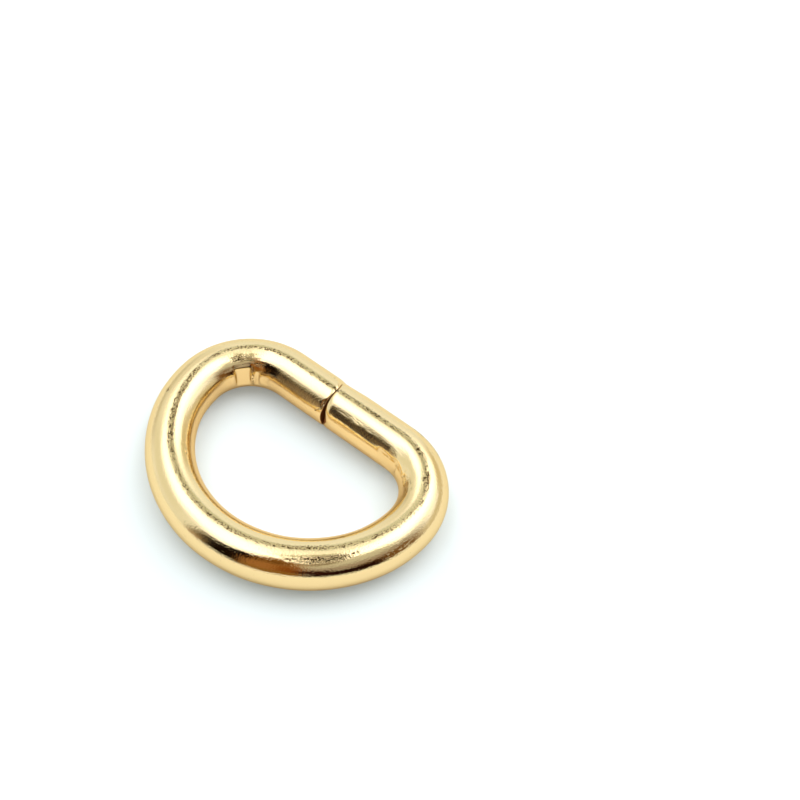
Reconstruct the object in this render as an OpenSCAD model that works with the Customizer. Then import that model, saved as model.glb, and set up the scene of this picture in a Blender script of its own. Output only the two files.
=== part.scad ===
// A D ring bent from one length of round wire.
// The wire's two ends meet in an open butt joint in the straight bar.
// The ring lies flat on z = 0 with the bar along X at the back and the bow towards -Y.
// Its origin is the middle of its footprint.

/* [Wire] */
// Diameter of the round wire
wire_d = 4.5; // [2.5:0.1:6]
// How much thinner the wire is round the top of the bow, drawn out as it was bent
bow_draw = 0.01; // [0.01:0.01:0.1]
// Width of the rolled edge round each end of the wire
end_edge = 0.3; // [0.1:0.05:0.6]

/* [Opening] */
// Inside width along the bar, the widest strap that the ring takes
inner_w = 20; // [17:0.1:25]
// Inside height, from the bar to the top of the bow
inner_h = 12.8; // [11:0.1:20]

/* [Bends] */
// Inside radius of the bend at each end of the bar
corner_r = 3.6; // [2:0.1:5]
// Turn of the tighter arc that makes each side of the bow, in degrees
side_turn = 29; // [22:1:40]

/* [Joint] */
// Gap between the two ends of the wire
joint_gap = 0.2; // [0.1:0.05:0.8]
// Where the joint sits along the bar, from the bar's middle
joint_x = -1; // [-3:0.1:3]

/* [Hidden] */
$fn = 64;

wire_r = wire_d / 2;
top_wire_r = (wire_d - bow_draw) / 2;

// Radii and lengths of the wire's centre line
corner_bend_r = corner_r + wire_r;
half_w = inner_w / 2 + wire_r;
centre_h = inner_h + wire_d;
half_bar = half_w - corner_bend_r;

// Two arcs that meet without a kink lead from the widest point to the top of the bow.
// Their radii make them span half the width and what the corner leaves of the height.
rise = centre_h - corner_bend_r;
turn_cos = cos(side_turn);
turn_sin = sin(side_turn);
side_bend_r = (rise * turn_cos - half_w * (1 - turn_sin)) / (turn_cos + turn_sin - 1);
top_bend_r = (half_w * turn_sin - rise * (1 - turn_cos)) / (turn_cos + turn_sin - 1);

// The thinner wire of the top runs on inside the sides by this many degrees
top_lap = 0.4;

// Places of the bar, the widest points and the top of the bow
bar_y = centre_h / 2;
wide_y = bar_y - corner_bend_r;
top_y = -bar_y;

// A bend that starts at the origin, heads for +Y and turns left, or back and right if turn is negative
module bend(bend_r, turn, from = 0, section_r = wire_r) {
    translate([-bend_r, 0, 0])
        rotate_extrude(angle = turn, start = from)
            translate([bend_r, 0])
                circle(r = section_r);
}

// The corner and the side of the bow on the +X side, which meet at the widest point
module flank() {
    translate([half_w, wide_y, wire_r]) {
        bend(corner_bend_r, 90);
        bend(side_bend_r, -side_turn);
    }
}

// The flatter top of the bow, in one arc from side to side
module bow_top() {
    half_turn = 90 - side_turn + top_lap;
    translate([0, top_y, wire_r])
        rotate([0, 0, -90])
            bend(top_bend_r, 2 * half_turn, -half_turn, top_wire_r);
}

// One end of the bar: straight wire from its bend to the joint, with a rolled end edge
module bar_end(reach) {
    straight = reach - end_edge;
    translate([half_bar, bar_y, wire_r])
        rotate([0, -90, 0]) {
            cylinder(r = wire_r, h = straight);
            translate([0, 0, straight])
                cylinder(r1 = wire_r, r2 = wire_r - end_edge, h = end_edge);
        }
}

module d_ring() {
    color("goldenrod")
        union() {
            bow_top();
            flank();
            bar_end(half_bar - joint_x - joint_gap / 2);
            mirror([1, 0, 0]) {
                flank();
                bar_end(half_bar + joint_x - joint_gap / 2);
            }
        }
}

d_ring();
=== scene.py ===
"""A D ring of gold plated steel wire, lying flat on a white board in a pale room.

The ring is one length of round wire, swept along its own centre line by Geometry Nodes.
Then the marks of cutting, bending and wear are worked into its mesh.
"""

import math

import bpy
import numpy as np
from mathutils import Matrix, Vector, noise


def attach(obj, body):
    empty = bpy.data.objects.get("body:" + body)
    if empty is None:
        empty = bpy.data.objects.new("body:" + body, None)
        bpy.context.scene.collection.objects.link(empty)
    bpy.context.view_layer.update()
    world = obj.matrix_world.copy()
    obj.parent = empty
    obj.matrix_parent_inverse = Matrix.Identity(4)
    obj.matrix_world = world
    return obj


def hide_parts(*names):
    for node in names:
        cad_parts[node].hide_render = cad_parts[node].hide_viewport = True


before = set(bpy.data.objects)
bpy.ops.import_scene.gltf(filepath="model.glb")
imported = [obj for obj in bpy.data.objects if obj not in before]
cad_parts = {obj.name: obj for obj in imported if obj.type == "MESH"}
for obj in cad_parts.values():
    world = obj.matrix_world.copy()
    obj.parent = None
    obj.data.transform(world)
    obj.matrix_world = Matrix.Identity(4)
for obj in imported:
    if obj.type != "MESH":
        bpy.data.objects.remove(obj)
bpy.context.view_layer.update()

MM = 0.001  # m

# Sizes of the bent wire in mm and degrees, as in the part's source
WIRE_D = 4.5
INNER_W = 20.0
INNER_H = 12.8
CORNER_R = 3.6
SIDE_TURN = 29.0
JOINT_X = -1.0

# How fine the mesh is, with lengths in mm
SIDES = 128  # round the wire
RING_STEP = 0.115  # from ring to ring along the wire
END_STEP = 0.02  # from ring to ring at the two ends
END_STRETCH = 2.0  # over which the rings spread out again
NOTHING = 1e-9  # too short to matter

# Camera: its place, where it points and how far it leans, in mm and degrees
CAMERA_POSITION = (47.39, -52.23, 108.54)
CAMERA_HEADING = 34.16
CAMERA_TILT = 53.46
CAMERA_ROLL = 5.21
LENS_MM = 64.31
SENSOR_MM = 36.0
CAMERA_REACH = (0.01, 10.0)  # m, the nearest and the farthest that it shows


def linear(hex_colour, level=1.0):
    """An sRGB hex colour as linear red, green, blue and alpha, times a brightness."""
    parts = [int(hex_colour[i : i + 2], 16) / 255 for i in (0, 2, 4)]
    lin = [c / 12.92 if c <= 0.04045 else ((c + 0.055) / 1.055) ** 2.4 for c in parts]
    return (*(level * c for c in lin), 1.0)


def add(tree, kind, inputs=None, **settings):
    """Adds a node with its settings, and sets each input or links it to another node's output."""
    node = tree.nodes.new(kind)
    for name, value in settings.items():
        setattr(node, name, value)
    for name, value in (inputs or {}).items():
        if isinstance(value, bpy.types.NodeSocket):
            tree.links.new(value, node.inputs[name])
        else:
            node.inputs[name].default_value = value
    return node


# The wire's centre line

WIRE_R = WIRE_D / 2
CORNER_BEND_R = CORNER_R + WIRE_R
HALF_W = INNER_W / 2 + WIRE_R
CENTRE_H = INNER_H + WIRE_D
HALF_BAR = HALF_W - CORNER_BEND_R
ABOVE_CORNER = CENTRE_H - CORNER_BEND_R
TURN_COS = math.cos(math.radians(SIDE_TURN))
TURN_SIN = math.sin(math.radians(SIDE_TURN))
SHARE = TURN_COS + TURN_SIN - 1
SIDE_BEND_R = (ABOVE_CORNER * TURN_COS - HALF_W * (1 - TURN_SIN)) / SHARE
TOP_BEND_R = (HALF_W * TURN_SIN - ABOVE_CORNER * (1 - TURN_COS)) / SHARE

# Each stretch of the wire from the joint round to the joint: length in mm and turn in degrees
STRETCHES = [
    (HALF_BAR + JOINT_X, 0.0),
    (CORNER_BEND_R * math.radians(90), 90.0),
    (SIDE_BEND_R * math.radians(SIDE_TURN), SIDE_TURN),
    (TOP_BEND_R * math.radians(180 - 2 * SIDE_TURN), 180 - 2 * SIDE_TURN),
    (SIDE_BEND_R * math.radians(SIDE_TURN), SIDE_TURN),
    (CORNER_BEND_R * math.radians(90), 90.0),
    (HALF_BAR - JOINT_X, 0.0),
]
WIRE_LENGTH = sum(length for length, turn in STRETCHES)
# Lengths along the wire count from the middle of the bar, so the first end is at -JOINT_X
FIRST_END = -JOINT_X
LAST_END = WIRE_LENGTH - JOINT_X


def stations():
    """Places along the wire for its rings, close together near the two ends."""
    places = [0.0]
    while places[-1] < WIRE_LENGTH:
        to_end = min(places[-1], WIRE_LENGTH - places[-1])
        share = min(1.0, to_end / END_STRETCH)
        places.append(places[-1] + END_STEP + (RING_STEP - END_STEP) * share)
    scale = WIRE_LENGTH / places[-1]
    return [p * scale for p in places]


def bent_step(length, bend):
    """How far ahead and to the left a stretch of wire gets that turns by this much per mm."""
    if not bend:
        return Vector((length, 0.0))
    return Vector((math.sin(bend * length), 1 - math.cos(bend * length))) / bend


def centre_line(places):
    """Points on the wire's centre line, in mm, at these lengths from the joint."""
    points = []
    ahead = list(places)
    start, passed, heading = Vector((JOINT_X, CENTRE_H / 2)), 0.0, math.pi
    for length, turn in STRETCHES:
        bend = math.radians(turn) / length
        facing = Matrix.Rotation(heading, 2)
        while ahead and ahead[0] <= passed + length + NOTHING:
            points.append(start + facing @ bent_step(ahead.pop(0) - passed, bend))
        start = start + facing @ bent_step(length, bend)
        heading += math.radians(turn)
        passed += length
    return points


def wire_tree():
    """Geometry Nodes that sweep a round wire along a line and note where each point was
    on the straight wire: along it, across it towards the opening, and up."""
    tree = bpy.data.node_groups.new("Swept wire", "GeometryNodeTree")
    sockets = (
        ("Geometry", "NodeSocketGeometry", None),
        ("Wire Diameter", "NodeSocketFloat", WIRE_D * MM),
        ("Sides", "NodeSocketInt", SIDES),
        ("Finish", "NodeSocketMaterial", None),
    )
    for name, kind, value in sockets:
        socket = tree.interface.new_socket(name, in_out="INPUT", socket_type=kind)
        if value is not None:
            socket.default_value = value
    tree.interface.new_socket("Geometry", in_out="OUTPUT", socket_type="NodeSocketGeometry")
    given = add(tree, "NodeGroupInput").outputs
    line = add(tree, "GeometryNodeMeshToCurve", {"Mesh": given["Geometry"]})
    upright = add(
        tree, "GeometryNodeSetCurveNormal", {"Curve": line.outputs[0]}, mode="Z_UP"
    )
    here = add(tree, "GeometryNodeInputPosition")
    tangent = add(tree, "GeometryNodeInputTangent")
    inward = add(
        tree,
        "ShaderNodeVectorMath",
        {0: (0.0, 0.0, 1.0), 1: tangent.outputs[0]},
        operation="CROSS_PRODUCT",
    )
    noted = upright.outputs[0]
    for name, value in (("centre", here.outputs[0]), ("inward", inward.outputs[0])):
        noted = add(
            tree,
            "GeometryNodeStoreNamedAttribute",
            {"Geometry": noted, "Name": name, "Value": value},
            data_type="FLOAT_VECTOR",
            domain="POINT",
        ).outputs[0]
    radius = add(
        tree, "ShaderNodeMath", {0: given["Wire Diameter"], 1: 0.5}, operation="MULTIPLY"
    )
    profile = add(
        tree,
        "GeometryNodeCurvePrimitiveCircle",
        {"Resolution": given["Sides"], "Radius": radius.outputs[0]},
        mode="RADIUS",
    )
    swept = add(
        tree,
        "GeometryNodeCurveToMesh",
        {"Curve": noted, "Profile Curve": profile.outputs[0], "Fill Caps": True},
    )
    smooth = add(
        tree, "GeometryNodeSetShadeSmooth", {"Geometry": swept.outputs[0]}, domain="FACE"
    )
    whole = add(tree, "GeometryNodeRealizeInstances", {"Geometry": smooth.outputs[0]})
    finished = add(
        tree,
        "GeometryNodeSetMaterial",
        {"Geometry": whole.outputs[0], "Material": given["Finish"]},
    )
    add(tree, "NodeGroupOutput", {"Geometry": finished.outputs[0]})
    return tree


# The finish, with sizes in mm. The real peel and specks are finer than shows, so they are drawn
# about as coarse as one dot of the picture. The breaks are where the speckled line on top fades and
# returns.
# Columns: name, length along the wire, width across it
GRAINS = (
    ("peel", 0.14, 0.14),
    ("drawing lines", 6.5, 0.20),
    ("scratches", 0.6, 0.13),
    ("specks", 0.15, 0.10),
    ("breaks", 0.8, 0.8),
)
GRAIN_DETAIL = 2.0
PEEL_DEEP = 0.011
LINE_DEEP = 0.005
SCRATCH_DEEP = 0.05
SPECK_DEEP = 0.012
RUBBED_OFF = 0.85  # share of those depths that the bending tool rubbed off the flats

# How much of a grain shows: a scratch or a speck starts at the first level and is full at the next
SCRATCH_LEVELS = (0.50, 0.68)
SPECK_LEVELS = (0.86, 0.92)
BREAK_SHARE = 0.20  # what the breaks add to the specks' level
# The wear share below is also what a full painted dark reflection adds.
WEAR_AND_REFLECTION_SHARE = 0.35  # what full wear adds to it

# Colours, each with its roughness
PLATING, PLATING_ROUGH = "F3DEAC", 0.07
# The dark speck colour is both wear and painted reflection: it also draws dark things the metal
# mirrors along its top and far outline.
WORN_AND_REFLECTED_DARK, WORN_ROUGH = "543C14", 0.26
# The bare colour is bare, tarnished metal, and also painted shade where it lines the narrow joint.
BARE_AND_JOINT_SHADE, BARE_ROUGH = "B07A4C", 0.60
EDGE_ON = "EAE4D2"


def gold_plate():
    """Gold plating a few thousandths of a millimetre thick over drawn steel wire, tumbled bright.
    It shows the room as a mirror does, but for fine drawing lines and a slight orange peel."""
    material = bpy.data.materials.new("gold_plated_steel")
    material.use_nodes = True
    tree = material.node_tree
    tree.nodes.clear()
    on_wire = add(tree, "ShaderNodeAttribute", attribute_name="straight_wire").outputs["Vector"]
    marks = add(tree, "ShaderNodeAttribute", attribute_name="marks").outputs["Vector"]
    wear_and_dark_reflection, scuff, bare_and_joint_shade = add(tree, "ShaderNodeSeparateXYZ", {0: marks}).outputs
    rubbed = add(tree, "ShaderNodeAttribute", attribute_name="rubbed").outputs["Fac"]

    # Each grain lies on the straight wire, drawn out along it
    grain = {}
    for name, length, width in GRAINS:
        drawn = add(
            tree,
            "ShaderNodeMapping",
            {"Vector": on_wire, "Scale": (1 / length, 1 / width, 1 / width)},
            vector_type="POINT",
            label=name,
        ).outputs[0]
        grain[name] = add(
            tree, "ShaderNodeTexNoise", {"Vector": drawn, "Scale": 1.0, "Detail": GRAIN_DETAIL}
        ).outputs[0]

    # Wear and painted dark reflections both make more of a place's grain show as dark specks
    ripe = grain["specks"]
    for more, part in ((grain["breaks"], BREAK_SHARE), (wear_and_dark_reflection, WEAR_AND_REFLECTION_SHARE)):
        ripe = add(
            tree, "ShaderNodeMath", {0: more, 1: part, 2: ripe}, operation="MULTIPLY_ADD"
        ).outputs[0]
    worn_and_reflected_specks, ridges = (
        add(
            tree,
            "ShaderNodeMapRange",
            {"Value": level, 1: start, 2: full},
            interpolation_type="SMOOTHSTEP",
        ).outputs[0]
        for level, (start, full) in ((ripe, SPECK_LEVELS), (grain["scratches"], SCRATCH_LEVELS))
    )
    scratched = add(tree, "ShaderNodeMath", {0: ridges, 1: scuff}, operation="MULTIPLY")

    # Heights in mm, added up
    height = 0.0
    for layer, deep in (
        (grain["peel"], PEEL_DEEP),
        (grain["drawing lines"], LINE_DEEP),
        (scratched.outputs[0], SCRATCH_DEEP),
        (worn_and_reflected_specks, -SPECK_DEEP),
    ):
        height = add(
            tree, "ShaderNodeMath", {0: layer, 1: deep, 2: height}, operation="MULTIPLY_ADD"
        ).outputs[0]
    relief = add(
        tree, "ShaderNodeMath", {0: rubbed, 1: -RUBBED_OFF, 2: 1.0}, operation="MULTIPLY_ADD"
    ).outputs[0]
    bump = add(
        tree, "ShaderNodeBump", {"Height": height, "Strength": relief, "Distance": MM}
    ).outputs[0]

    # Worn specks, and the specks that paint dark reflections, are darker and duller. The cut faces
    # inside the joint are bare and tarnished, and their colour is also painted shade of the narrow
    # joint.
    colour, gloss = linear(PLATING), PLATING_ROUGH
    for share, tint, rough in ((worn_and_reflected_specks, WORN_AND_REFLECTED_DARK, WORN_ROUGH), (bare_and_joint_shade, BARE_AND_JOINT_SHADE, BARE_ROUGH)):
        colour = add(
            tree,
            "ShaderNodeMix",
            {"Factor": share, 6: colour, 7: linear(tint)},
            data_type="RGBA",
        ).outputs[2]
        gloss = add(
            tree, "ShaderNodeMix", {"Factor": share, 2: gloss, 3: rough}, data_type="FLOAT"
        ).outputs[0]

    # Edge-on, the fine peel shades itself, so the mirror loses light there, blue most of all
    shader = add(
        tree,
        "ShaderNodeBsdfPrincipled",
        {
            "Base Color": colour,
            "Metallic": 1.0,
            "Roughness": gloss,
            "Specular Tint": linear(EDGE_ON),
            "Normal": bump,
        },
    )
    add(tree, "ShaderNodeOutputMaterial", {"Surface": shader.outputs[0]})
    return material


# The ring

places = stations()
outline = centre_line(places)
line_mesh = bpy.data.meshes.new("wire_line")
line_mesh.from_pydata(
    [(p.x * MM, p.y * MM, WIRE_R * MM) for p in outline],
    [(i, i + 1) for i in range(len(outline) - 1)],
    [],
)
along = line_mesh.attributes.new("along", "FLOAT", "POINT")
along.data.foreach_set("value", [p + FIRST_END for p in places])
line_object = bpy.data.objects.new("wire_line", line_mesh)
bpy.context.scene.collection.objects.link(line_object)

gold = gold_plate()
tree = wire_tree()
sweep = line_object.modifiers.new("sweep", "NODES")
sweep.node_group = tree
chosen = {"Wire Diameter": WIRE_D * MM, "Sides": SIDES, "Finish": gold}
for item in tree.interface.items_tree:
    if item.in_out == "INPUT" and item.name in chosen:
        sweep[item.identifier] = chosen[item.name]
evaluated = line_object.evaluated_get(bpy.context.evaluated_depsgraph_get())
ring_mesh = bpy.data.meshes.new_from_object(evaluated)
bpy.data.objects.remove(line_object)
ring = bpy.data.objects.new("bent_wire", ring_mesh)
bpy.context.scene.collection.objects.link(ring)


def read(name, width):
    """A named attribute of the ring's points as rows of numbers."""
    values = np.zeros(len(ring_mesh.vertices) * width, np.float32)
    field = "vector" if width == 3 else "value"
    ring_mesh.attributes[name].data.foreach_get(field, values)
    return values.reshape(-1, width).astype(float)


centre, inward, reach = read("centre", 3), read("inward", 3), read("along", 1)[:, 0]
points = read("position", 3)
across = ((points - centre) * inward).sum(1) / MM
upward = (points - centre)[:, 2] / MM
around = np.degrees(np.arctan2(across, upward))

# The marks of cutting, bending and wear. A place is given as mm along the wire from the middle
# of the bar, and degrees around it from the top, with + towards the opening.

# The faces of the joint, in mm past its middle: they nearly touch on top and stand open inside
# Columns: around, first end, last end
JOINT_FACES = (
    (-180, 0.03, -0.03),
    (-110, 0.02, -0.02),
    (-60, 0.32, 0.29),
    (-40, 0.32, 0.29),
    (-15, 0.03, 0.00),
    (8, 0.02, -0.01),
    (20, 0.03, -0.03),
    (40, 0.08, -0.10),
    (55, 0.06, -0.20),
    (72, 0.10, -0.45),
    (88, 0.06, -0.58),
    (100, 0.00, -0.40),
    (112, -0.03, -0.12),
    (130, 0.03, -0.03),
    (180, 0.03, -0.03),
)
FACE_FADE = 3.0  # mm from the joint over which the faces' slant dies out
FACE_DEEP = 1e-4  # mm from an end within which a point lies on its face

# The rounded rims of the two cut ends, in mm
# Columns: around, first end's length and depth, last end's length and depth
RIMS = (
    (-180, 0.25, 0.08, 0.25, 0.08),
    (-100, 0.35, 0.12, 0.35, 0.10),
    (-60, 0.90, 0.34, 0.60, 0.20),
    (-30, 0.75, 0.30, 0.55, 0.17),
    (-10, 0.35, 0.10, 0.55, 0.16),
    (20, 0.30, 0.09, 0.60, 0.18),
    (110, 0.30, 0.10, 0.60, 0.18),
    (180, 0.25, 0.08, 0.25, 0.08),
)

# Flats that the bending tool pressed on the inner side of the corners
# Columns: from, to, around, depth, and the length over which it sinks in
FLATS = (
    (7.6, 9.0, 82, 0.06, 0.45),
    (9.0, 9.9, 82, 0.15, 0.40),
    (10.3, 12.7, 78, 0.24, 0.40),
    (59.5, 63.0, 84, 0.10, 1.20),
)
FLAT_SIDE = 16  # degrees around over which a flat runs out past its own edge
RIM_PARTS = 3  # the tool's straight face sets in over one part in three of that length

# Lines pressed or scratched into the wire
# Columns: name, points as (along, around), half width, depth, wear and painted dark reflection
CREASES = (
    ("torn edge", ((1.2, 36), (1.4, 45), (1.15, 51), (1.3, 62), (1.6, 70)), 0.09, 0.030, 1.2),
    ("press line", ((8.5, 38), (10.2, 40), (12, 44), (14, 48)), 0.13, 0.020, 0.9),
    ("upper press line", ((9.8, 33), (12.4, 30)), 0.20, 0.010, 0.9),
    ("cross line", ((10.2, 50), (10.1, 75), (10.2, 112)), 0.30, 0.070, 0.8),
    ("first facet line", ((9.0, 58), (8.9, 110)), 0.12, 0.030, 0.2),
    ("last facet line", ((12.7, 52), (12.8, 110)), 0.14, 0.020, 0.0),
    ("curl", ((24.7, 33), (25.2, 38), (25.9, 43)), 0.12, 0.020, 0.6),
    ("loop top", ((41, -22), (42.5, -17), (45, -15), (46.8, -18)), 0.20, 0.015, 0.85),
    ("loop foot", ((41, -22), (43, -27), (46, -24), (46.8, -18)), 0.17, 0.012, 0.7),
    ("loop middle", ((42.4, -19), (44.5, -22), (46, -20)), 0.17, 0.012, 1.1),
    ("corner arc", ((55.3, 30), (56.2, 34), (57.2, 44), (57.8, 56)), 0.20, 0.020, 0.5),
    ("corner fold", ((57.6, 56), (58.6, 61), (60.0, 56), (61.2, 64), (62.4, 60)), 0.20, 0.018, 0.4),
    ("corner crease", ((59.8, 62), (59.6, 75), (59.6, 112)), 0.22, 0.070, 0.5),
    # The specks of these three rows are painted reflection: they draw the dark line that the far
    # outline mirrors near the joint. Their creases are shaped in the mesh.
    ("far edge line", ((67.4, -56), (68.3, -50), (68.9, -42)), 0.15, 0.040, 1.2),
    ("far edge mark", ((62, -58), (66, -58), (67.4, -56)), 0.12, 0.020, 1.3),
    ("far corner dark reflection", ((59.0, -62), (60.2, -55), (61.6, -52), (62.4, -56)), 0.40, 0.010, 0.8),
)

# Dents and worn spots, as ovals with half lengths and half widths in mm. Wear brings out specks,
# scuff brings out scratches, and cut lays the metal bare.
# Columns: name, along, around, half length, half width, depth, wear, scuff, cut
DENTS = (
    ("torn rim", 1.14, 42, 0.22, 0.40, 0.07, 0.9, 0.4, 0.2),
    ("left bar hollow", 3.4, 40, 4.30, 1.50, 0.045, 0.0, 0.0, 0.0),
    ("left corner press", 9.7, 50, 1.90, 1.60, 0.040, 0.0, 0.0, 0.0),
    ("left corner shoulder", 9.6, 13, 1.90, 1.10, 0.040, 0.0, 0.0, 0.0),
    ("left corner tear", 9.3, 43, 1.00, 0.40, 0.01, 0.7, 0.1, 0.0),
    ("amber hollow", 55.0, 52, 2.40, 0.60, 0.05, 0.0, 0.0, 0.0),
    ("far edge nick", 2.00, -33, 0.28, 0.16, 0.05, 0.9, 0.0, 0.0),
    ("far chamfer", 68.6, -64, 1.60, 0.90, 0.12, 0.0, 0.0, 0.0),
    ("left corner spot", 11.9, 26, 1.50, 0.65, 0.01, 0.80, 0.2, 0.0),
    ("left bow nick", 19.1, -30, 0.34, 0.22, 0.03, 1.0, 0.0, 0.0),
    ("front scuff", 36.4, -40, 2.80, 0.70, 0.00, 0.0, 0.06, 0.0),
    ("front curl", 43.8, -22, 2.80, 0.40, 0.02, 0.0, 0.12, 0.0),
    ("right bow patch", 56.6, -3, 1.70, 0.60, 0.01, 0.80, 0.1, 0.0),
    ("right front streaks", 49.8, -43, 2.60, 0.60, 0.00, 0.30, 0.12, 0.0),
    ("corner hollow", 57.4, 46, 1.70, 0.70, 0.04, 0.0, 0.1, 0.0),
    ("corner lump", 60.4, 28, 1.20, 0.60, 0.02, 0.0, 0.1, 0.0),
    ("corner smear", 59.2, -35, 0.60, 0.30, 0.01, 0.3, 0.4, 0.0),
    ("right corner press", 59.6, 48, 1.90, 1.40, 0.030, 0.0, 0.0, 0.0),
    ("right corner spot", 60.9, 46, 1.10, 0.30, 0.00, 0.6, 0.2, 0.0),
    ("right bar hollow", 63.8, 66, 5.40, 1.00, 0.05, 0.0, 0.0, 0.0),
    ("bar band hollow", 65.4, 40, 4.20, 0.80, 0.034, 0.0, 0.0, 0.0),
    ("bar sparkle", 65.8, 36, 3.00, 0.30, 0.00, 0.0, 0.4, 0.0),
)
DENT_BOTTOM = 0.35  # share of a dent's size that is its level bottom

# The worn line along the top of the wire. Its dark specks are partly wear and partly a painted
# reflection of a thin dark gap between the lights.
# Columns: along, around, half width in mm, wear and painted reflection
CREST = (
    (1.0, -2, 0.38, 0.74),
    (14, -2, 0.38, 0.66),
    (18, 5, 0.50, 0.80),
    (23, 6, 0.50, 0.80),
    (27, 5, 0.42, 0.69),
    (38, 4, 0.42, 0.67),
    (43, 9, 0.42, 0.71),
    (48, 2, 0.38, 0.63),
    (54, -6, 0.38, 0.73),
    (59, -5, 0.44, 0.75),
    (69.3, -5, 0.40, 0.78),
)
CREST_CORE = 0.3  # share of its width that is fully worn

BOW_DRAW = 0.01  # mm that bending takes off the wire round the bow
BOW = (20.8, 47.5)  # mm along, where the bow starts and ends
BOW_FADE = 2  # mm over which that starts and ends
RIPPLE = 0.02  # mm, the slow unevenness of the drawn wire
RIPPLE_LENGTH = 3.0  # mm
MM_PER_DEGREE = math.radians(1) * WIRE_R


def rise(value, start, end):
    """0 up to the start, 1 from the end on, and smooth between them."""
    share = np.clip((value - start) / (end - start), 0, 1)
    return share * share * (3 - 2 * share)


def by_around(table):
    """The columns of a table by degrees around, each worked out for every point."""
    rows = np.array(table, float)
    return [np.interp(around, rows[:, 0], column) for column in rows[:, 1:].T]


def from_line(points_on_line):
    """Each point's distance in mm from a line drawn on the wire."""
    nearest = np.full(len(reach), np.inf)
    spots = [(a, b * MM_PER_DEGREE) for a, b in points_on_line]
    here = np.c_[reach, around * MM_PER_DEGREE]
    for start, end in zip(spots, spots[1:]):
        step = np.subtract(end, start)
        share = np.clip(((here - start) @ step) / (step @ step), 0, 1)
        nearest = np.minimum(nearest, np.linalg.norm(here - start - share[:, None] * step, axis=1))
    return nearest


inset = np.zeros(len(reach))  # mm towards the middle of the wire
shift = np.zeros(len(reach))  # mm along the wire
wear_and_dark_reflection, scuff, bare_and_joint_shade, rubbed = np.zeros((4, len(reach)))  # how strong each is, where 1 is full

from_first, from_last = reach - FIRST_END, LAST_END - reach
first_face, last_face = by_around(JOINT_FACES)
shift += first_face * (1 - rise(from_first, 0, FACE_FADE))
shift += last_face * (1 - rise(from_last, 0, FACE_FADE))
first_long, first_deep, last_long, last_deep = by_around(RIMS)
for distance, long, deep in (
    (from_first, first_long, first_deep),
    (from_last, last_long, last_deep),
):
    to_face = np.clip(1 - distance / long, 0, 1)
    inset += deep * (1 - np.sqrt(1 - to_face**2))
# The end faces take the bare colour: bare metal, darkened as painted shade inside the joint.
bare_and_joint_shade[np.minimum(from_first, from_last) < FACE_DEEP] = 1.0

# A flat is straight across the wire and along it, so it bites deepest towards its two ends
for start, end, middle, deep, fade in FLATS:
    half_turn = math.degrees(math.acos(1 - deep / WIRE_R))
    offset = np.clip(np.abs(around - middle), 0, half_turn)
    pressed = WIRE_R - (WIRE_R - deep) / np.cos(np.radians(offset))
    span = rise(reach, start, start + fade) * (1 - rise(reach, end - fade, end))
    sag = ((end - start) * CORNER_R / CORNER_BEND_R) ** 2 / (8 * CORNER_R)
    from_middle = (reach - (start + end) / 2) / (end - start)
    rim = fade / RIM_PARTS
    inside = rise(reach, start, start + rim) * (1 - rise(reach, end - rim, end))
    side = 1 - rise(np.abs(around - middle), half_turn, half_turn + FLAT_SIDE)
    inset += pressed * span + inside * side * sag * 4 * from_middle**2
    rubbed = np.maximum(rubbed, span * side)

for name, line, half_width, deep, worn_and_reflected_specks in CREASES:
    near = 1 - rise(from_line(line), 0, half_width)
    inset += deep * near
    wear_and_dark_reflection = np.maximum(wear_and_dark_reflection, worn_and_reflected_specks * near)

for name, place, turn, half_long, half_wide, deep, worn_and_reflected_specks, rough, bare in DENTS:
    away = np.hypot((reach - place) / half_long, (around - turn) * MM_PER_DEGREE / half_wide)
    near = 1 - rise(away, DENT_BOTTOM, 1.0)
    inset += deep * near
    wear_and_dark_reflection = np.maximum(wear_and_dark_reflection, worn_and_reflected_specks * near)
    scuff = np.maximum(scuff, rough * near)
    bare_and_joint_shade = np.maximum(bare_and_joint_shade, bare * near)

crest = np.array(CREST)
crest_around, crest_wide, crest_worn_and_reflected = (np.interp(reach, crest[:, 0], c) for c in crest[:, 1:].T)
from_crest = np.abs(around - crest_around) * MM_PER_DEGREE
on_crest = crest_worn_and_reflected * (1 - rise(from_crest, CREST_CORE * crest_wide, crest_wide))
wear_and_dark_reflection = np.maximum(wear_and_dark_reflection, on_crest)

in_bow, past_bow = rise(reach, BOW[0] - BOW_FADE, BOW[0]), rise(reach, BOW[1], BOW[1] + BOW_FADE)
inset += BOW_DRAW * in_bow * (1 - past_bow)
ripple = [
    noise.noise(Vector((a / RIPPLE_LENGTH, b, c))) for a, b, c in zip(reach, across, upward)
]
inset += RIPPLE * (np.array(ripple) + 1) / 2

# A point moves towards the middle of the wire, and along it where it lies near the joint
outward = (points - centre) / (WIRE_R * MM)
tangent = np.cross(inward, (0.0, 0.0, 1.0))
moved = points - outward * inset[:, None] * MM + tangent * shift[:, None] * MM
ring_mesh.attributes["position"].data.foreach_set("vector", moved.astype(np.float32).ravel())
ring_mesh.update()

# The faces of the joint stay flat and the rest of the wire is smooth
for polygon in ring_mesh.polygons:
    polygon.use_smooth = len(polygon.vertices) == 4

# What the finish reads
for name, kind, field, columns in (
    ("straight_wire", "FLOAT_VECTOR", "vector", (reach, across, upward)),
    ("marks", "FLOAT_VECTOR", "vector", (wear_and_dark_reflection, scuff, bare_and_joint_shade)),
    ("rubbed", "FLOAT", "value", (rubbed,)),
):
    kept = ring_mesh.attributes.new(name, kind, "POINT")
    kept.data.foreach_set(field, np.stack(columns, 1).astype(np.float32).ravel())
for name in ("centre", "inward", "along"):
    ring_mesh.attributes.remove(ring_mesh.attributes[name])

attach(ring, "root")
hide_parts("d_ring")

# The table

BOARD_HALF = 3.0  # m
BOARD = "ECF0F0"
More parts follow.
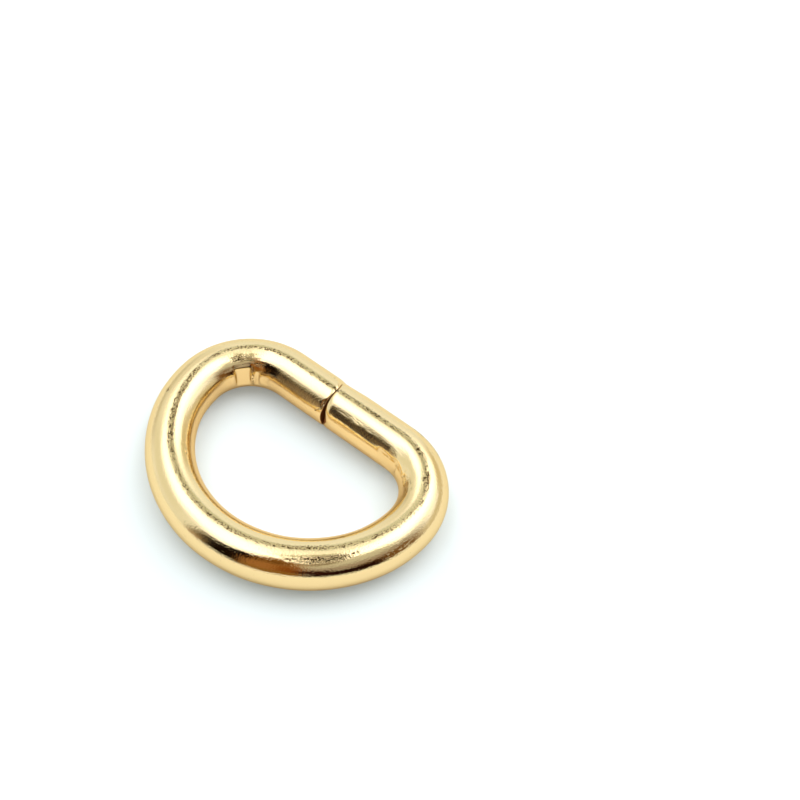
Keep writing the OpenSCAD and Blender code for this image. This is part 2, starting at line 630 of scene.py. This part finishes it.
# Painted bounce light: the board's colours as the ring sees it, warmer than its own white.
BOARD_PAINTED_BOUNCE_INSIDE, BOARD_PAINTED_BOUNCE_ROUND = "EDE0C8", "EDEBE0"  # as the ring shows it, inside and round the ring
INSIDE_FADE = (0.9, 1.6)  # where the one turns into the other, in half sizes of the opening
GLOW, GLOW_LEVEL = "A0E0FF", 0.19  # as the camera sees it
GLOW_ON_RING, GLOW_ON_RING_LEVEL = "FFF8F0", 0.07


def white_board():
    """Matt coated board, white without a grain or a gloss that shows. It glows a little, like
    one lit from below, which keeps its shadows pale. Photographs of goods are brightened until
    the board is white, so the camera sees it glow a little more, and cooler, than the ring does.
    """
    material = bpy.data.materials.new("matt_white_board")
    material.use_nodes = True
    tree = material.node_tree
    tree.nodes.clear()
    sight = add(tree, "ShaderNodeLightPath").outputs["Is Camera Ray"]
    # Painted bounce light: as the ring sees it, the board is painted warmer, most of all inside the
    # ring, for the warm light the gold throws onto it, and the ring shows it again
    on_board = add(tree, "ShaderNodeTexCoord").outputs["Object"]
    opening = add(
        tree,
        "ShaderNodeMapping",
        {"Vector": on_board, "Scale": (1 / (INNER_W / 2 * MM), 1 / (INNER_H / 2 * MM), 0.0)},
        vector_type="POINT",
    ).outputs[0]
    from_middle = add(
        tree, "ShaderNodeVectorMath", {0: opening}, operation="LENGTH"
    ).outputs[1]
    outside = add(
        tree,
        "ShaderNodeMapRange",
        {"Value": from_middle, 1: INSIDE_FADE[0], 2: INSIDE_FADE[1]},
        interpolation_type="SMOOTHSTEP",
    ).outputs[0]
    painted_bounce = add(
        tree,
        "ShaderNodeMix",
        {"Factor": outside, 6: linear(BOARD_PAINTED_BOUNCE_INSIDE), 7: linear(BOARD_PAINTED_BOUNCE_ROUND)},
        data_type="RGBA",
    ).outputs[2]
    shown = add(
        tree,
        "ShaderNodeMix",
        {"Factor": sight, 6: painted_bounce, 7: linear(BOARD)},
        data_type="RGBA",
    ).outputs[2]
    matt = add(tree, "ShaderNodeBsdfDiffuse", {"Color": shown}).outputs[0]
    on_ring, on_camera = (
        add(tree, "ShaderNodeEmission", {"Color": linear(tint), "Strength": level}).outputs[0]
        for tint, level in ((GLOW_ON_RING, GLOW_ON_RING_LEVEL), (GLOW, GLOW_LEVEL))
    )
    glow = add(tree, "ShaderNodeMixShader", {0: sight, 1: on_ring, 2: on_camera}).outputs[0]
    whole = add(tree, "ShaderNodeAddShader", {0: matt, 1: glow}).outputs[0]
    add(tree, "ShaderNodeOutputMaterial", {"Surface": whole})
    return material


floor_mesh = bpy.data.meshes.new("table_top")
floor_mesh.from_pydata(
    [(x * BOARD_HALF, y * BOARD_HALF, 0.0) for x, y in ((-1, -1), (1, -1), (1, 1), (-1, 1))],
    [],
    [(0, 1, 2, 3)],
)
floor_mesh.materials.append(white_board())
floor = bpy.data.objects.new("table_top", floor_mesh)
bpy.context.scene.collection.objects.link(floor)

# The light: a pale room with two large soft boxes overhead and darker things towards the camera.
# An oval lies on a map of the sky that is centred on the zenith, with distances in degrees:
# across is the camera's right, and up is away from the camera. A panel stands round the table:
# across is its bearing, from 0 towards the camera to 90 at its right, and up is its height.
# Columns: name, shape, across, up, half width, half height, turn, edge softness, colour, level
SKY = (
    ("back wall", "oval", 0, 72, 60, 30, 0, 0.5, "EBEEEC", 1.16),
    ("left glow", "oval", -36, 14, 40, 44, 10, 0.6, "F4F6FF", 1.25),
    ("right glow", "oval", 40, 14, 42, 42, -10, 0.6, "F6F8FF", 1.35),
    ("left soft box", "oval", -20, 8, 18, 32, 14, 0.6, "FFFFFF", 2.3),
    ("right soft box", "oval", 24, 16, 19, 32, -14, 0.6, "FFFFFF", 2.4),
    ("gap between boxes", "oval", 0, 20, 5, 24, 0, 0.8, "F2F2E8", 1.2),
    ("far rail", "oval", -1, 43, 14, 12, 0, 0.4, "D2D4C5", 1.0),
    ("far clamp", "oval", 7, 34, 6, 4, 0, 0.6, "8A8668", 1.0),
    ("back left panel", "oval", -55, 54, 24, 8, 42, 0.8, "CAC2AC", 1.0),
    ("right low wall", "panel", 104, 8, 26, 12, 0, 0.5, "DCD2BC", 1.0),
    ("right low rail", "panel", 138, 15, 14, 11, 0, 0.6, "DED0B0", 1.0),
    ("near wall", "panel", 34, 48, 38, 18, 0, 0.25, "D0CEC2", 1.0),
    ("near wall foot", "panel", 34, 33, 50, 10, 0, 0.4, "A89C92", 1.0),
    ("brown shelf", "panel", 55, 15, 23, 13, 0, 0.4, "7A5630", 1.0),
    ("brown screen", "panel", -18, 39, 19, 34, 0, 0.2, "A27040", 1.0),
    ("screen fold", "panel", -6, 30, 8, 14, 0, 0.6, "864E1E", 1.0),
    ("screen foot", "panel", -18, 12, 19, 5, 0, 0.4, "8A632A", 1.0),
    ("screen top", "panel", -17, 56, 9, 9, 0, 0.5, "6E4A22", 1.0),
    ("dark desk", "panel", 26, 13, 24, 11, 0, 0.3, "240B02", 1.0),
    ("desk lid", "panel", 9, 24, 9, 8, 0, 0.35, "34160A", 1.0),
    ("board foot", "panel", -61, 11, 6, 9, 0, 0.5, "A68C6E", 1.0),
    ("brown board", "panel", -61, 30, 6, 16, 0, 0.35, "7A6448", 1.0),
    ("dark post", "panel", -58.5, 35, 3, 11, 0, 0.4, "1C1006", 1.0),
    ("black flag", "panel", -45, 29, 11, 24, 0, 0.2, "160B04", 1.0),
    ("flag top", "panel", -40, 50, 9.5, 9, 0, 0.25, "160B04", 1.0),
    ("left low wall", "panel", -104, 28, 32, 15, 0, 0.5, "F0EFE2", 1.0),
    ("back left low wall", "panel", -150, 27, 12, 10, 0, 0.5, "F2F0E6", 1.0),
    ("zenith", "oval", 1, 0, 8, 8, 0, 0.5, "C8C2A8", 0.98),
    ("boom", "oval", 7, -24, 6, 14, 0, 0.6, "8D7F67", 1.0),
    ("lamp arm", "oval", 8, -11, 8, 4, -50, 0.5, "615337", 1.0),
)
WALLS = "F1F2EA"  # what shows between them
BACKDROP, BACKDROP_LEVEL = "FFFFFF", 1.05  # behind the table, for the camera alone


def sky():
    """The room as light from every direction, and a plain pale background for the camera."""
    world = bpy.data.worlds.new("studio")
    bpy.context.scene.world = world
    world.use_nodes = True
    tree = world.node_tree
    tree.nodes.clear()
    coords = add(tree, "ShaderNodeTexCoord")
    turned = add(
        tree,
        "ShaderNodeMapping",
        {"Vector": coords.outputs["Generated"], "Rotation": (0, 0, -math.radians(CAMERA_HEADING))},
        vector_type="POINT",
    )
    flat = add(
        tree,
        "ShaderNodeVectorMath",
        {0: turned.outputs[0], 1: (1.0, 1.0, 0.0)},
        operation="MULTIPLY",
    )
    unit = add(tree, "ShaderNodeVectorMath", {0: flat.outputs[0]}, operation="NORMALIZE")
    parts = add(tree, "ShaderNodeSeparateXYZ", {0: turned.outputs[0]})
    from_zenith = add(
        tree, "ShaderNodeMath", {0: parts.outputs["Z"]}, operation="ARCCOSINE"
    )
    down = add(tree, "ShaderNodeMath", {0: from_zenith.outputs[0]}, operation="DEGREES")
    overhead = add(
        tree,
        "ShaderNodeVectorMath",
        {0: unit.outputs[0], "Scale": down.outputs[0]},
        operation="SCALE",
    )
    near = add(tree, "ShaderNodeMath", {0: parts.outputs["Y"], 1: -1.0}, operation="MULTIPLY")
    angle = add(
        tree, "ShaderNodeMath", {0: parts.outputs["X"], 1: near.outputs[0]}, operation="ARCTAN2"
    )
    bearing = add(tree, "ShaderNodeMath", {0: angle.outputs[0]}, operation="DEGREES")
    height = add(tree, "ShaderNodeMath", {0: 90.0, 1: down.outputs[0]}, operation="SUBTRACT")
    around_us = add(tree, "ShaderNodeCombineXYZ", {0: bearing.outputs[0], 1: height.outputs[0]})
    charts = {"oval": overhead.outputs[0], "panel": around_us.outputs[0]}
    colour = linear(WALLS)
    for name, shape, across, up, half_w, half_h, turn, soft, tint, level in SKY:
        local = add(
            tree,
            "ShaderNodeMapping",
            {
                "Vector": charts[shape],
                "Location": (across, up, 0),
                "Rotation": (0, 0, math.radians(turn)),
                "Scale": (half_w, half_h, 1),
            },
            vector_type="TEXTURE",
            label=name,
        ).outputs[0]
        if shape == "oval":
            away = add(tree, "ShaderNodeVectorMath", {0: local}, operation="LENGTH").outputs[1]
        else:
            sizes = add(tree, "ShaderNodeVectorMath", {0: local}, operation="ABSOLUTE")
            sides = add(tree, "ShaderNodeSeparateXYZ", {0: sizes.outputs[0]})
            away = add(
                tree,
                "ShaderNodeMath",
                {0: sides.outputs["X"], 1: sides.outputs["Y"]},
                operation="MAXIMUM",
            ).outputs[0]
        share = add(
            tree,
            "ShaderNodeMapRange",
            {"Value": away, 1: 1 - soft, 2: 1 + soft, 3: 1.0, 4: 0.0},
            interpolation_type="SMOOTHSTEP",
        )
        colour = add(
            tree,
            "ShaderNodeMix",
            {"Factor": share.outputs[0], 6: colour, 7: linear(tint, level)},
            data_type="RGBA",
        ).outputs[2]
    room = add(tree, "ShaderNodeBackground", {"Color": colour, "Strength": 1.0})
    plain = add(
        tree, "ShaderNodeBackground", {"Color": linear(BACKDROP), "Strength": BACKDROP_LEVEL}
    )
    path = add(tree, "ShaderNodeLightPath")
    seen = add(
        tree,
        "ShaderNodeMixShader",
        {0: path.outputs["Is Camera Ray"], 1: room.outputs[0], 2: plain.outputs[0]},
    )
    add(tree, "ShaderNodeOutputWorld", {"Surface": seen.outputs[0]})


sky()

# Two broad fills brighten the open board, and the metal doesn't show them
# Columns: name, level, degrees above the board, and round from the camera's side to its right
FILLS = (
    ("back fill", 0.31, 72, 150),
    ("front fill", 0.12, 50, 0),
)
FILL_SPREAD = 60  # degrees

for name, level, height, bearing in FILLS:
    fill = bpy.data.objects.new(name, bpy.data.lights.new(name, "SUN"))
    fill.data.energy = level
    fill.data.angle = math.radians(FILL_SPREAD)
    fill.rotation_mode = "QUATERNION"
    fill.rotation_quaternion = (
        Matrix.Rotation(math.radians(CAMERA_HEADING + bearing), 3, "Z")
        @ Matrix.Rotation(math.radians(90 - height), 3, "X")
    ).to_quaternion()
    fill.visible_glossy = False
    bpy.context.scene.collection.objects.link(fill)

# The camera

camera = bpy.data.objects.new("camera", bpy.data.cameras.new("camera"))
bpy.context.scene.collection.objects.link(camera)
bpy.context.scene.camera = camera
camera.data.lens = LENS_MM
camera.data.sensor_width = SENSOR_MM
camera.data.clip_start, camera.data.clip_end = CAMERA_REACH
camera.location = Vector(CAMERA_POSITION) * MM
camera.rotation_mode = "QUATERNION"
camera.rotation_quaternion = (
    Matrix.Rotation(math.radians(CAMERA_HEADING), 3, "Z")
    @ Matrix.Rotation(math.radians(90 - CAMERA_TILT), 3, "X")
    @ Matrix.Rotation(math.radians(CAMERA_ROLL), 3, "Z")
).to_quaternion()

bpy.context.scene.view_settings.view_transform = "Standard"
